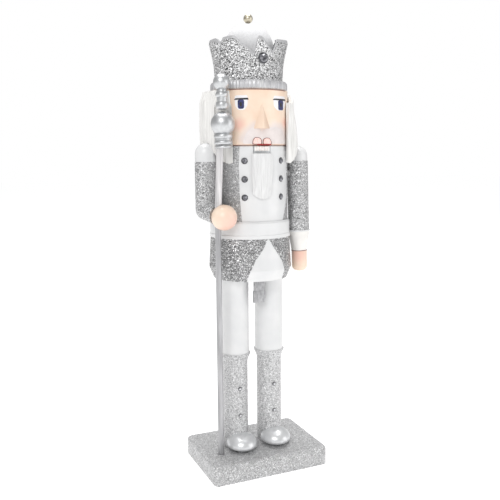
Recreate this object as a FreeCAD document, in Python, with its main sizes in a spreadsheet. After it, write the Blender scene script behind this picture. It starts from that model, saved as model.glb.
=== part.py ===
"""Nutcracker king: a turned wooden figure in a glittered coat, on a block base, holding a staff.

Millimetres. +Z is up and the figure faces -Y, so its right hand is at -X. The origin is on the
turning axis of the body, at the underside of the base.
"""
import FreeCAD
import Part
import Sketcher
import math
import os

V = FreeCAD.Vector
os.makedirs("parts", exist_ok=True)
doc = FreeCAD.newDocument("nutcracker")

# ---------------------------------------------------------------- driving dimensions
SIZES = [
    ("base_width", 104), ("base_depth", 74), ("base_height", 16),
    ("base_offset_x", 2), ("base_offset_y", -4), ("base_corner", 5), ("base_edge", 2.5),
    ("leg_spacing", 32), ("leg_y", -2.5), ("boot_radius", 10.4), ("boot_top", 99.5),
    ("boot_taper", 7), ("boot_flare", 12.8), ("thigh_radius", 12.2), ("leg_top", 164),
    ("shoe_half_width", 12.8), ("shoe_half_length", 14), ("shoe_rise", 9), ("shoe_sole", 5),
    ("shoe_shift_x", 1), ("shoe_y", -13.5),
    ("skirt_foot_radius", 31), ("skirt_low_radius", 34.6), ("skirt_top_radius", 33),
    ("skirt_chamfer", 9), ("skirt_top", 199), ("belt_height", 14), ("belt_radius", 33.6),
    ("belt_lip", 0.5), ("belt_lip_height", 2.6), ("torso_radius", 31.5), ("torso_top", 273.7),
    ("face_turn", -4.5), ("head_radius", 32), ("head_height", 43.8), ("head_edge", 1.2),
    ("nose_height", 19), ("nose_width", 14), ("nose_reach", 5.5), ("nose_foot", 287.5),
    ("slot_width", 14.6), ("slot_floor", 236), ("lever_width", 14), ("pivot_y", -4),
    ("pivot_height", 260), ("pin_radius", 1.5), ("pin_clearance", 0.05), ("pin_length", 52),
    ("chin_front", -31), ("chin_depth", 15), ("chin_height", 19), ("chin_gap", 0.5),
    ("lever_thickness", 10), ("tail_inner", 34.6), ("tail_thickness", 6), ("tail_top", 248),
    ("tail_foot", 204),
    ("beard_width", 15.5), ("beard_length", 38), ("beard_thickness", 4.5), ("beard_top", 268),
    ("beard_back", -32), ("beard_tip", 5),
    ("hair_inner", 32.2), ("hair_outer", 39), ("hair_top", 316), ("hair_foot", 258.5),
    ("hair_half_open", 46), ("hair_nape", 275), ("hair_nape_width", 26), ("hair_clear", 0.5),
    ("band_foot", 317.5), ("band_height", 7.3), ("band_radius", 31.6), ("crown_height", 34.2),
    ("crown_foot_radius", 27.8), ("crown_rim_radius", 33.2), ("crown_wall", 3.2),
    ("crown_waist", 0.35), ("crown_notch_depth", 12.5), ("crown_notch_foot", 3),
    ("crown_notch_mouth", 19), ("crown_notch_angle", 15.5),
    ("dome_radius", 20.8), ("dome_centre", 351.2), ("finial_radius", 3.8), ("finial_height", 376.1),
    ("arm_radius", 8.6), ("arm_x", 41.2), ("arm_y", -7), ("shoulder_round", 8.3),
    ("right_shoulder", 275.9), ("elbow_height", 223), ("forearm_radius", 8.3),
    ("left_shoulder", 273.5), ("left_sleeve_foot", 201.7), ("left_cuff_foot", 184.5),
    ("left_hand_foot", 166.3), ("left_hand_x", 43.7), ("left_hand_y", -7.6),
    ("cuff_top_radius", 9.2), ("cuff_foot_radius", 6.7), ("hand_radius", 6.7), ("hand_round", 4.5),
    ("fist_radius", 10.3), ("fist_x", -33.7), ("fist_y", -27), ("fist_height", 217.4),
    ("grip_x", -37.9), ("grip_y", -24), ("staff_foot_x", -34.9), ("staff_foot_y", -15.5),
    ("shaft_aim_x", -33.9), ("shaft_aim_y", -26.5), ("shaft_aim_z", 329), ("shaft_length", 72),
    ("head_top_x", -35.3), ("head_low_x", -33.1), ("staff_head_y", -26), ("head_top", 328.6),
    ("head_low", 275), ("ball_radius", 8.9), ("rod_radius", 2.4),
    ("shaft_radius", 2.8), ("socket_depth", 7), ("socket_clearance", 0.05),
    ("shoulder_dowel_radius", 3), ("shoulder_dowel_length", 14), ("shoulder_dowel_height", 251),
    ("leg_dowel_radius", 3.5), ("leg_dowel_length", 16), ("body_dowel_radius", 5),
    ("body_dowel_length", 20), ("neck_dowel_radius", 3), ("neck_dowel_length", 20),
    ("neck_dowel_x", 17), ("crown_dowel_radius", 4), ("crown_dowel_length", 24),
    ("nail_radius", 0.8), ("nail_length", 12),
    ("strap_width", 11), ("strap_thickness", 2.5), ("strap_length", 20), ("strap_y", -19.5),
    ("coat_gem_radius", 2.3), ("coat_gem_angle", 30.5), ("coat_gem_low", 232.5),
    ("coat_gem_step", 14.6), ("boot_gem_radius", 1.9), ("boot_gem_low", 45.6),
    ("boot_gem_step", 23.7), ("crown_gem_radius", 4), ("crown_gem_height", 341.5),
]

sheet = doc.addObject("Spreadsheet::Sheet", "sizes")
for row, (alias, value) in enumerate(SIZES, start=1):
    sheet.set("A%d" % row, alias)
    sheet.set("B%d" % row, str(value))
    sheet.setAlias("B%d" % row, alias)
doc.recompute()
size = dict(SIZES)
nodes = []


# ---------------------------------------------------------------- helpers
def bind(obj, prop, text):
    """Bind a property to an expression, in which each size's alias stands for its cell."""
    words = [("sizes." + word if word in size else word) for word in text.split()]
    obj.setExpression(prop, " ".join(words))


def keep(obj, label):
    """Name a finished sub-part; its label is also its file's name."""
    obj.Label = label
    nodes.append(obj)
    return obj


def stand(obj, height):
    """Set a piece on the body's axis at a height from the sheet."""
    bind(obj, ".Placement.Base.z", height)
    return obj


def lean(start, end):
    """A placement at start, with its own Z along the line from start to end."""
    return FreeCAD.Placement(start, FreeCAD.Rotation(V(0, 0, 1), end - start))


def turn_face(obj):
    """Turn a piece with the head, about the body's axis."""
    spin = FreeCAD.Rotation(V(0, 0, 1), size["face_turn"])
    obj.Placement = FreeCAD.Placement(V(0, 0, 0), spin).multiply(obj.Placement)
    return obj


def cylinder(name, radius, length, base=V(0, 0, 0), axis=V(0, 0, 1)):
    """A cylinder whose radius and length are expressions."""
    obj = doc.addObject("Part::Cylinder", name)
    bind(obj, "Radius", radius)
    bind(obj, "Height", length)
    obj.Placement = FreeCAD.Placement(base, FreeCAD.Rotation(V(0, 0, 1), axis))
    return obj


def cone(name, foot_radius, top_radius, length, base=V(0, 0, 0)):
    """A cone between two radii."""
    obj = doc.addObject("Part::Cone", name)
    bind(obj, "Radius1", foot_radius)
    bind(obj, "Radius2", top_radius)
    bind(obj, "Height", length)
    obj.Placement.Base = base
    return obj


def sphere(name, radius, centre):
    """A ball about a centre."""
    obj = doc.addObject("Part::Sphere", name)
    bind(obj, "Radius", radius)
    obj.Placement.Base = centre
    return obj


def box(name, length, width, height, corner):
    """A box from its lowest corner."""
    obj = doc.addObject("Part::Box", name)
    bind(obj, "Length", length)
    bind(obj, "Width", width)
    bind(obj, "Height", height)
    obj.Placement.Base = corner
    return obj


def cut(name, base, *tools):
    """The base with each tool taken away."""
    for number, tool in enumerate(tools):
        result = doc.addObject("Part::Cut", "%s_cut_%d" % (name, number))
        result.Base = base
        result.Tool = tool
        base = result
    return base


def join(name, *pieces):
    """Several overlapping solids as one."""
    result = doc.addObject("Part::MultiFuse", name)
    result.Shapes = list(pieces)
    return result


def plane(body, role):
    """One of a body's own origin planes."""
    return next(item for item in body.Origin.OriginFeatures if item.Role == role)


def outline(body, role, points, name="outline"):
    """A closed outline on an origin plane, from (across, up) expressions; "0" lies on an axis."""
    sketch = body.newObject("Sketcher::SketchObject", name)
    sketch.AttachmentSupport = [(plane(body, role), "")]
    sketch.MapMode = "FlatFace"
    count = len(points)
    for i in range(count):
        turn = 2 * math.pi * i / count
        after = 2 * math.pi * (i + 1) / count
        start = V(60 + 50 * math.sin(turn), 60 - 50 * math.cos(turn), 0)
        end = V(60 + 50 * math.sin(after), 60 - 50 * math.cos(after), 0)
        sketch.addGeometry(Part.LineSegment(start, end), False)
    for i in range(count):
        sketch.addConstraint(Sketcher.Constraint("Coincident", i, 2, (i + 1) % count, 1))
    for i, (across, up) in enumerate(points):
        for kind, text, axis in (("DistanceX", across, -2), ("DistanceY", up, -1)):
            if text == "0":
                sketch.addConstraint(Sketcher.Constraint("PointOnObject", i, 1, axis))
            else:
                index = sketch.addConstraint(Sketcher.Constraint(kind, -1, 1, i, 1, 10.0))
                bind(sketch, "Constraints[%d]" % index, text)
    doc.recompute()
    return sketch


def turned(name, points):
    """A lathe-turned body from (radius, height) expressions, about its own Z."""
    body = doc.addObject("PartDesign::Body", name)
    sketch = outline(body, "XZ_Plane", points)
    spin = body.newObject("PartDesign::Revolution", "turning")
    spin.Profile = sketch
    spin.ReferenceAxis = (sketch, ["V_Axis"])
    spin.Angle = 360
    doc.recompute()
    return body


def round_rims(body, radius, rims):
    """Fillet a turned body's circular edges, each found by its radius and height."""
    shape = body.Tip.Shape
    names = []
    for number, edge in enumerate(shape.Edges, start=1):
        if not isinstance(edge.Curve, Part.Circle):
            continue
        for rim_radius, rim_height in rims:
            near = abs(edge.Curve.Radius - rim_radius) < 0.01
            if near and abs(edge.Curve.Center.z - rim_height) < 0.01:
                names.append("Edge%d" % number)
    rounding = body.newObject("PartDesign::Fillet", "rounding")
    rounding.Base = (body.Tip if body.Tip != rounding else rounding.BaseFeature, names)
    bind(rounding, "Radius", radius)
    body.Tip = rounding
    doc.recompute()
    return body


def gem(name, radius, place):
    """A flat-backed rhinestone: a girdle under a cut crown, its own Z out of the surface."""
    girdle = cylinder(name + "_girdle", radius, radius + " * 0.25")
    crown = cone(name + "_facets", radius, radius + " * 0.5", radius + " * 0.4")
    bind(crown, ".Placement.Base.z", radius + " * 0.25")
    stone = join(name, girdle, crown)
    stone.Placement = place
    return stone


def on_round(radius, angle, height, axis_x=0, axis_y=0):
    """A placement on an upright round surface; angle 0 faces the front, positive towards +X."""
    out = V(math.sin(math.radians(angle)), -math.cos(math.radians(angle)), 0)
    point = V(axis_x, axis_y, height) + out * radius
    return FreeCAD.Placement(point, FreeCAD.Rotation(V(0, 0, 1), out))


def group(label, pieces):
    """Several separate solids that share one node."""
    result = doc.addObject("Part::Compound", label + "_group")
    result.Links = pieces
    return keep(result, label)


# ---------------------------------------------------------------- base
leg_x = {"right": -size["leg_spacing"] / 2, "left": size["leg_spacing"] / 2}
leg_y = size["leg_y"]
rod_foot = V(size["staff_foot_x"], size["staff_foot_y"], size["base_height"])
grip = V(size["grip_x"], size["grip_y"], size["fist_height"])
rod_line = (grip - rod_foot).normalize()

base_body = doc.addObject("PartDesign::Body", "base_body")
corners = [(side, front) for side, front in ((-1, -1), (1, -1), (1, 1), (-1, 1))]
base_sketch = outline(base_body, "XY_Plane", [
    ("base_offset_x + %d * base_width / 2" % side, "base_offset_y + %d * base_depth / 2" % front)
    for side, front in corners])
base_pad = base_body.newObject("PartDesign::Pad", "slab")
base_pad.Profile = base_sketch
bind(base_pad, "Length", "base_height")
doc.recompute()
upright = ["Edge%d" % number for number, edge in enumerate(base_pad.Shape.Edges, start=1)
           if abs(edge.tangentAt(edge.FirstParameter).z) > 0.99]
base_corners = base_body.newObject("PartDesign::Fillet", "corners")
base_corners.Base = (base_pad, upright)
bind(base_corners, "Radius", "base_corner")
doc.recompute()
top_edges = ["Edge%d" % number for number, edge in enumerate(base_corners.Shape.Edges, start=1)
             if edge.BoundBox.ZMin > size["base_height"] - 0.01]
base_rim = base_body.newObject("PartDesign::Fillet", "rim")
base_rim.Base = (base_corners, top_edges[:1])
bind(base_rim, "Radius", "base_edge")
doc.recompute()
dowel_low = size["base_height"] - size["leg_dowel_length"] / 2
socket_foot = rod_foot - rod_line * size["socket_depth"]
base_block = cut(
    "base", base_body,
    cylinder("hole_right", "leg_dowel_radius", "leg_dowel_length", V(leg_x["right"], leg_y, dowel_low)),
    cylinder("hole_left", "leg_dowel_radius", "leg_dowel_length", V(leg_x["left"], leg_y, dowel_low)),
    cylinder("staff_socket", "rod_radius + socket_clearance", "socket_depth * 2", socket_foot, rod_line))
keep(base_block, "base_block")

# ---------------------------------------------------------------- legs, shoes and their dowels
foot_dowels = []
hip_dowels = []
for side, x in leg_x.items():
    leg = turned("leg_" + side + "_turning", [
        ("0", "0"), ("boot_radius", "0"), ("boot_radius", "boot_top - boot_taper - base_height"),
        ("boot_flare", "boot_top - base_height - 1"), ("boot_flare", "boot_top - base_height"),
        ("thigh_radius", "boot_top - base_height"), ("thigh_radius", "leg_top - base_height"),
        ("0", "leg_top - base_height")])
    leg.Placement.Base = V(x, leg_y, size["base_height"])
    half = size["leg_dowel_length"] / 2
    foot_hole = cylinder("foot_hole_" + side, "leg_dowel_radius", "leg_dowel_length",
                         V(x, leg_y, size["base_height"] - half))
    hip_hole = cylinder("hip_hole_" + side, "leg_dowel_radius", "leg_dowel_length",
                        V(x, leg_y, size["leg_top"] - half))
    keep(cut("leg_" + side, leg, foot_hole, hip_hole), "leg_" + side)
    foot_dowels.append(cylinder("foot_dowel_" + side, "leg_dowel_radius", "leg_dowel_length",
                                V(x, leg_y, size["base_height"] - half)))
    hip_dowels.append(cylinder("hip_dowel_" + side, "leg_dowel_radius", "leg_dowel_length",
                               V(x, leg_y, size["leg_top"] - half)))

    widest = V(x + size["shoe_shift_x"], size["shoe_y"], size["base_height"] + size["shoe_sole"])
    halves = []
    for part, rise, upper in (("upper", "shoe_rise", True), ("sole", "shoe_sole", False)):
        ovoid = doc.addObject("Part::Ellipsoid", "shoe_%s_%s" % (side, part))
        bind(ovoid, "Radius1", rise)
        bind(ovoid, "Radius2", "shoe_half_width")
        bind(ovoid, "Radius3", "shoe_half_length")
        ovoid.Angle1 = 0 if upper else -90
        ovoid.Angle2 = 90 if upper else 0
        ovoid.Placement.Base = widest
        halves.append(ovoid)
    scoop = cylinder("boot_scoop_" + side, "boot_radius", "base_height * 2",
                     V(x, leg_y, size["base_height"]))
    keep(cut("shoe_" + side, join("shoe_%s_halves" % side, *halves), scoop), "shoe_" + side)
group("foot_dowels", foot_dowels)
group("hip_dowels", hip_dowels)

# ---------------------------------------------------------------- skirt, belt and torso
body_half = size["body_dowel_length"] / 2
skirt = stand(turned("skirt_turning", [
    ("0", "0"), ("skirt_foot_radius", "0"), ("skirt_low_radius", "skirt_chamfer"),
    ("skirt_top_radius", "skirt_top - leg_top"), ("0", "skirt_top - leg_top")]), "leg_top")
skirt_holes = [cylinder("skirt_hole_" + side, "leg_dowel_radius", "leg_dowel_length",
                        V(x, leg_y, size["leg_top"] - size["leg_dowel_length"] / 2))
               for side, x in leg_x.items()]
waist_low = V(0, 0, size["skirt_top"] - body_half)
skirt_holes.append(cylinder("waist_hole_low", "body_dowel_radius", "body_dowel_length", waist_low))
keep(cut("skirt", skirt, *skirt_holes), "coat_skirt")
keep(cylinder("waist_dowel_round", "body_dowel_radius", "body_dowel_length", waist_low), "waist_dowel")

belt = stand(turned("belt_turning", [
    ("torso_radius", "0"), ("belt_radius + belt_lip", "0"),
    ("belt_radius + belt_lip", "belt_lip_height"), ("belt_radius", "belt_lip_height + belt_lip"),
    ("belt_radius", "belt_height - 1.5"), ("belt_radius - 1", "belt_height"),
    ("torso_radius", "belt_height")]), "skirt_top")
keep(belt, "belt")

torso = stand(turned("torso_turning", [
    ("0", "0"), ("torso_radius", "0"), ("torso_radius", "torso_top - skirt_top - 0.8"),
    ("torso_radius - 0.8", "torso_top - skirt_top"), ("0", "torso_top - skirt_top")]), "skirt_top")
slot_deep = 2 * size["belt_radius"]
slot = turn_face(box("jaw_slot", "slot_width", "belt_radius * 2", "torso_top - slot_floor + 1",
                     V(-size["slot_width"] / 2, -slot_deep / 2, size["slot_floor"])))
pin_low = V(-size["pin_length"] / 2, size["pivot_y"], size["pivot_height"])
pin_hole = turn_face(cylinder("pin_hole", "pin_radius", "pin_length", pin_low, V(1, 0, 0)))
shoulder_dowels = []
shoulder_holes = []
for side, sign in (("right", -1), ("left", 1)):
    inner = size["arm_x"] - size["shoulder_dowel_length"] / 2 - size["arm_radius"]
    start = V(sign * inner, size["arm_y"], size["shoulder_dowel_height"])
    for kind, store in (("dowel", shoulder_dowels), ("hole", shoulder_holes)):
        store.append(cylinder("shoulder_%s_%s" % (kind, side), "shoulder_dowel_radius",
                              "shoulder_dowel_length", start, V(sign, 0, 0)))
neck_dowels = []
neck_holes = []
for sign in (-1, 1):
    start = V(sign * size["neck_dowel_x"], 0, size["torso_top"] - size["neck_dowel_length"] / 2)
    for kind, store in (("dowel", neck_dowels), ("hole", neck_holes)):
        store.append(turn_face(cylinder("neck_%s_%d" % (kind, sign + 1), "neck_dowel_radius",
                                        "neck_dowel_length", start)))
waist_hole = cylinder("waist_hole_high", "body_dowel_radius", "body_dowel_length", waist_low)
keep(cut("torso", torso, slot, pin_hole, waist_hole, *shoulder_holes, *neck_holes), "torso")
group("shoulder_dowels", shoulder_dowels)
group("neck_dowels", neck_dowels)

# ---------------------------------------------------------------- jaw lever, its pin and the beard
lever_body = doc.addObject("PartDesign::Body", "lever_body")
lever_sketch = outline(lever_body, "YZ_Plane", [
    ("chin_front", "torso_top - chin_gap - chin_height"),
    ("pivot_y", "pivot_height - lever_thickness * 0.8"),
    ("pivot_y + lever_thickness", "pivot_height - lever_thickness * 0.8"),
    ("tail_inner", "tail_top - lever_thickness"),
    ("tail_inner", "tail_foot + tail_thickness / 2"),
    ("tail_inner + tail_thickness / 3", "tail_foot"),
    ("tail_inner + tail_thickness", "tail_foot"),
    ("tail_inner + tail_thickness", "tail_top - tail_thickness / 2"),
    ("tail_inner + tail_thickness / 2", "tail_top"),
    ("pivot_y + lever_thickness", "pivot_height + lever_thickness * 0.3"),
    ("chin_front + chin_depth", "torso_top - chin_gap"),
    ("chin_front", "torso_top - chin_gap")])
lever_pad = lever_body.newObject("PartDesign::Pad", "plank")
lever_pad.Profile = lever_sketch
bind(lever_pad, "Length", "lever_width")
lever_pad.Midplane = True
doc.recompute()
lever_bore = cylinder("lever_bore", "pin_radius + pin_clearance", "pin_length", pin_low, V(1, 0, 0))
jaw_lever = turn_face(cut("jaw_lever", lever_body, lever_bore))
keep(jaw_lever, "jaw_lever")
keep(turn_face(cylinder("pivot_round", "pin_radius", "pin_length", pin_low, V(1, 0, 0))),
     "jaw_pivot_pin")

beard_body = doc.addObject("PartDesign::Body", "beard_body")
beard_sketch = outline(beard_body, "XZ_Plane", [
    ("beard_width * -0.3", "0"), ("beard_width * 0.3", "0"),
    ("beard_width * 0.5", "beard_tip"), ("beard_width * 0.45", "beard_length"),
    ("beard_width * -0.45", "beard_length"), ("beard_width * -0.5", "beard_tip")])
beard_pad = beard_body.newObject("PartDesign::Pad", "fur")
beard_pad.Profile = beard_sketch
bind(beard_pad, "Length", "beard_thickness")
beard_body.Placement.Base = V(0, size["beard_back"], size["beard_top"] - size["beard_length"])
doc.recompute()
keep(turn_face(beard_body), "beard")

# ---------------------------------------------------------------- head, nose and hair
head = stand(turned("head_turning", [
    ("0", "0"), ("head_radius", "0"), ("head_radius", "head_height"), ("0", "head_height")]),
    "torso_top")
round_rims(head, "head_edge", [(size["head_radius"], 0)])
head_holes = [cylinder("head_hole_%d" % (sign + 1), "neck_dowel_radius", "neck_dowel_length",
                       V(sign * size["neck_dowel_x"], 0,
                         size["torso_top"] - size["neck_dowel_length"] / 2)) for sign in (-1, 1)]
crown_dowel_low = V(0, 0, size["band_foot"] + size["band_height"] / 2
                    - size["crown_dowel_length"] / 2)
head_holes.append(cylinder("head_hole_top", "crown_dowel_radius", "crown_dowel_length",
                           crown_dowel_low))
keep(turn_face(cut("head", head, *head_holes)), "head")

nose_body = doc.addObject("PartDesign::Body", "nose_body")
nose_foot = outline(nose_body, "XY_Plane", [
    ("nose_width * -0.5", "3 - head_radius"), ("0", "0 - head_radius - nose_reach"),
    ("nose_width * 0.5", "3 - head_radius")], "nose_foot_outline")
nose_tip = outline(nose_body, "XY_Plane", [
    ("nose_width * -0.2", "3 - head_radius"), ("0", "0 - head_radius - 0.4"),
    ("nose_width * 0.2", "3 - head_radius")], "nose_top_outline")
bind(nose_tip, ".AttachmentOffset.Base.z", "nose_height")
doc.recompute()
nose_loft = nose_body.newObject("PartDesign::AdditiveLoft", "nose_wedge")
nose_loft.Profile = nose_foot
nose_loft.Sections = [nose_tip]
doc.recompute()
nose_body.Placement.Base = V(0, 0, size["nose_foot"])
face_round = cylinder("face_round", "head_radius", "head_height * 2",
                      V(0, 0, size["torso_top"] - size["head_height"] / 2))
keep(turn_face(cut("nose", nose_body, face_round)), "nose")

shaft_line = (V(size["shaft_aim_x"], size["shaft_aim_y"], size["shaft_aim_z"]) - grip).normalize()
head_top = V(size["head_top_x"], size["staff_head_y"], size["head_top"])
head_low = V(size["head_low_x"], size["staff_head_y"], size["head_low"])
head_line = (head_top - head_low).normalize()
hair_ring = stand(turned("hair_turning", [
    ("hair_inner", "0"), ("hair_outer - 1.5", "0"), ("hair_outer", "4"),
    ("hair_outer", "hair_top - hair_foot - 5"), ("hair_outer - 2", "hair_top - hair_foot"),
    ("hair_inner", "hair_top - hair_foot")]), "hair_foot")
open_reach = size["hair_outer"] * 2
half_open = math.radians(size["hair_half_open"])
face_window = doc.addObject("Part::Wedge", "face_window")
knife_edge = 0.1
face_window.Xmin = -knife_edge
face_window.Xmax = knife_edge
face_window.Zmin = 0
face_window.Zmax = size["hair_top"] - size["hair_foot"] + 2
face_window.Z2min = face_window.Zmin
face_window.Z2max = face_window.Zmax
face_window.Ymin = 0
face_window.Ymax = open_reach
face_window.X2min = -open_reach * math.tan(half_open)
face_window.X2max = open_reach * math.tan(half_open)
face_window.Placement = FreeCAD.Placement(V(0, 0, size["hair_foot"] - 1),
                                          FreeCAD.Rotation(V(0, 0, 1), 180))
turn_face(face_window)
nape = turn_face(box("nape_cut", "hair_nape_width", "hair_outer * 2", "hair_nape - hair_foot + 1",
                     V(-size["hair_nape_width"] / 2, 0, size["hair_foot"] - 1)))
hair_tools = [face_window, nape]
for side, sign in (("right", -1), ("left", 1)):
    hair_tools.append(cylinder("shoulder_room_" + side, "arm_radius + hair_clear",
                               "right_shoulder - hair_foot + 3",
                               V(sign * size["arm_x"], size["arm_y"], size["hair_foot"] - 2)))
hair_tools.append(cylinder("staff_room", "ball_radius + hair_clear", "head_top",
                           head_low - head_line * size["hair_outer"], head_line))
keep(cut("hair", hair_ring, *hair_tools), "hair")

# ---------------------------------------------------------------- crown, dome and finial
band = stand(turned("band_turning", [
    ("0", "0"), ("band_radius", "0"), ("band_radius", "band_height"), ("0", "band_height")]),
    "band_foot")
round_rims(band, "head_edge", [(size["band_radius"], 0), (size["band_radius"], size["band_height"])])
band_hole = cylinder("band_hole", "crown_dowel_radius", "crown_dowel_length", crown_dowel_low)
keep(cut("band", band, band_hole), "crown_band")

crown = turned("crown_turning", [
    ("crown_foot_radius - crown_wall", "0"), ("crown_foot_radius", "0"),
    ("crown_foot_radius + 0.5", "crown_height * crown_waist"), ("crown_rim_radius", "crown_height"),
    ("crown_rim_radius - crown_wall", "crown_height"),
    ("crown_foot_radius - crown_wall + 0.5", "crown_height * crown_waist")])
stand(crown, "band_foot + band_height")
crown_gem = gem("crown_gem_stone", "crown_gem_radius",
                on_round(size["crown_foot_radius"] + 1.6, 0, size["crown_gem_height"]))
gem_seat = cylinder("crown_gem_seat", "crown_gem_radius", "crown_wall / 2")
gem_seat.Placement = crown_gem.Placement
notches = [gem_seat]
for quarter in range(4):
    for sign in (-1, 1):
        notch = doc.addObject("Part::Wedge", "notch_%d_%d" % (quarter, sign + 1))
        for prop, text in (("Xmin", "0 - crown_notch_foot / 2"), ("Xmax", "crown_notch_foot / 2"),
                           ("X2min", "0 - crown_notch_mouth / 2"), ("X2max", "crown_notch_mouth / 2"),
                           ("Ymin", "0"), ("Ymax", "crown_notch_depth + 1"),
                           ("Zmin", "0"), ("Zmax", "crown_rim_radius + 5"),
                           ("Z2min", "0"), ("Z2max", "crown_rim_radius + 5")):
            bind(notch, prop, text)
        angle = math.radians(quarter * 90 + sign * size["crown_notch_angle"])
        out = V(math.sin(angle), -math.cos(angle), 0)
        turn = FreeCAD.Rotation(V(0, 0, 1).cross(out), V(0, 0, 1), out, "YZX")
        rim = size["band_foot"] + size["band_height"] + size["crown_height"]
        notch.Placement = FreeCAD.Placement(V(0, 0, rim - size["crown_notch_depth"]), turn)
        notches.append(notch)
keep(cut("crown", crown, *notches), "crown")

dome_round = sphere("dome_ball", "dome_radius", V(0, 0, size["dome_centre"]))
band_top = size["band_foot"] + size["band_height"]
dome_stem = cylinder("dome_stem", "dome_radius", "dome_centre - band_foot - band_height",
                     V(0, 0, band_top))
dome_hole = cylinder("dome_hole", "crown_dowel_radius", "crown_dowel_length", crown_dowel_low)
nail_low = V(0, 0, size["finial_height"] + size["finial_radius"] - size["nail_length"])
dome_nail = cylinder("dome_nail", "nail_radius", "nail_length", nail_low)
keep(cut("dome", join("dome_solid", dome_round, dome_stem), dome_hole, dome_nail), "hat_dome")
keep(cylinder("crown_dowel_round", "crown_dowel_radius", "crown_dowel_length", crown_dowel_low),
     "crown_dowel")
finial_ball = sphere("finial_ball", "finial_radius", V(0, 0, size["finial_height"]))
finial_hole = cylinder("finial_hole", "nail_radius", "nail_length", nail_low)
keep(cut("finial", finial_ball, finial_hole), "finial_bead")
keep(cylinder("nail_shank", "nail_radius", "nail_length", nail_low), "finial_nail")

# ---------------------------------------------------------------- right arm, hand and staff
elbow = V(-size["arm_x"], size["arm_y"], size["elbow_height"])
fist = V(size["fist_x"], size["fist_y"], size["fist_height"])
arm_turning = turned("arm_right_turning", [
    ("0", "0"), ("arm_radius", "0"), ("arm_radius", "right_shoulder - elbow_height"),
    ("0", "right_shoulder - elbow_height")])
round_rims(arm_turning, "shoulder_round",
           [(size["arm_radius"], size["right_shoulder"] - size["elbow_height"])])
arm_turning.Placement.Base = elbow
elbow_ball = sphere("elbow_ball", "arm_radius", elbow)
arm_holes = {side: cylinder("arm_hole_" + side, "shoulder_dowel_radius", "shoulder_dowel_length",
                            V(sign * (size["arm_x"] - size["shoulder_dowel_length"] / 2
                                      - size["arm_radius"]), size["arm_y"],
                              size["shoulder_dowel_height"]), V(sign, 0, 0))
             for side, sign in (("right", -1), ("left", 1))}
upper_arm = cut("arm_right", join("arm_right_solid", arm_turning, elbow_ball), arm_holes["right"])
keep(upper_arm, "arm_right")

forearm_line = fist - elbow
forearm_round = cylinder("forearm_round", "forearm_radius", "forearm_radius * 2", elbow, forearm_line)
arm_space = cylinder("arm_space", "arm_radius", "right_shoulder - elbow_height", elbow)
elbow_space = sphere("elbow_space", "arm_radius", elbow)
fist_space = sphere("fist_space", "fist_radius", fist)
rod_length = (grip - socket_foot).Length


def staff_space(name):
    """The room that the staff's shaft takes up above the grip."""
    return cylinder(name, "shaft_radius", "shaft_length", grip, shaft_line)


keep(cut("forearm", forearm_round, arm_space, elbow_space, fist_space,
         staff_space("shaft_in_forearm")), "forearm_right")

rod = cylinder("rod_round", "rod_radius", "%.3f" % rod_length, socket_foot, rod_line)
HEAD_BEADS = [  # (kind, radius, centre below the top, length), turned along the head's own axis
    ("ball", "5.8", 5.8, 0), ("core", "3.4", 18, 16), ("ring", "4", 14.6, 5), ("ring", "4.1", 23, 7),
    ("ball", "ball_radius", 38.2, 0), ("ring", "7.1", 47.4, 4.4), ("core", "6.2", 50, 8),
    ("ring", "7.1", 52.4, 3.6), ("ring", "6.5", 55.8, 2.4)]
beads = []
for number, (kind, radius, below, length) in enumerate(HEAD_BEADS):
    centre = head_top - head_line * below
    if kind == "ball":
        beads.append(sphere("staff_bead_%d" % number, radius, centre))
    else:
        start = centre - head_line * (length / 2)
        beads.append(cylinder("staff_bead_%d" % number, radius, str(length), start, head_line))
beads.append(cylinder("staff_shaft", "shaft_radius", "shaft_length", grip, shaft_line))
staff_head = join("staff_head_solid", *beads)
keep(staff_head, "staff_head")
rod_space = cylinder("rod_space", "rod_radius", "%.3f" % rod_length, socket_foot, rod_line)
keep(cut("rod", rod, staff_space("shaft_on_rod")), "staff_rod")
keep(cut("hand_right", sphere("fist_ball", "fist_radius", fist), staff_space("shaft_in_hand"),
         rod_space), "hand_right")

# ---------------------------------------------------------------- left arm, cuff and hand
left_top = V(size["arm_x"], size["arm_y"], size["left_shoulder"])
left_end = V(size["left_hand_x"], size["left_hand_y"], size["left_hand_foot"])
left_line = (left_top - left_end).normalize()


def on_left_arm(height):
    """The point of the left arm's axis at a height."""
    return left_end + left_line * ((height - left_end.z) / left_line.z)


sleeve_foot = on_left_arm(size["left_sleeve_foot"])
sleeve = turned("sleeve_turning", [
    ("0", "0"), ("arm_radius", "0"), ("arm_radius", "left_shoulder - left_sleeve_foot"),
    ("0", "left_shoulder - left_sleeve_foot")])
round_rims(sleeve, "shoulder_round",
           [(size["arm_radius"], size["left_shoulder"] - size["left_sleeve_foot"])])
sleeve.Placement = lean(sleeve_foot, left_top)
keep(cut("arm_left", sleeve, arm_holes["left"]), "arm_left")
cuff = cone("cuff_cone", "cuff_foot_radius", "cuff_top_radius", "left_sleeve_foot - left_cuff_foot")
cuff.Placement = lean(on_left_arm(size["left_cuff_foot"]), left_top)
keep(cuff, "cuff_left")
hand = turned("hand_left_turning", [
    ("0", "0"), ("hand_radius", "0"), ("hand_radius", "left_cuff_foot - left_hand_foot"),
    ("0", "left_cuff_foot - left_hand_foot")])
round_rims(hand, "hand_round", [(size["hand_radius"], 0)])
hand.Placement = lean(left_end, left_top)
keep(hand, "hand_left")

# ---------------------------------------------------------------- strap and rhinestones
strap = box("strap", "strap_width", "strap_thickness", "strap_length",
            V(-size["strap_width"] / 2, size["strap_y"], size["leg_top"] - size["strap_length"]))
keep(strap, "sash_tail")

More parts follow.
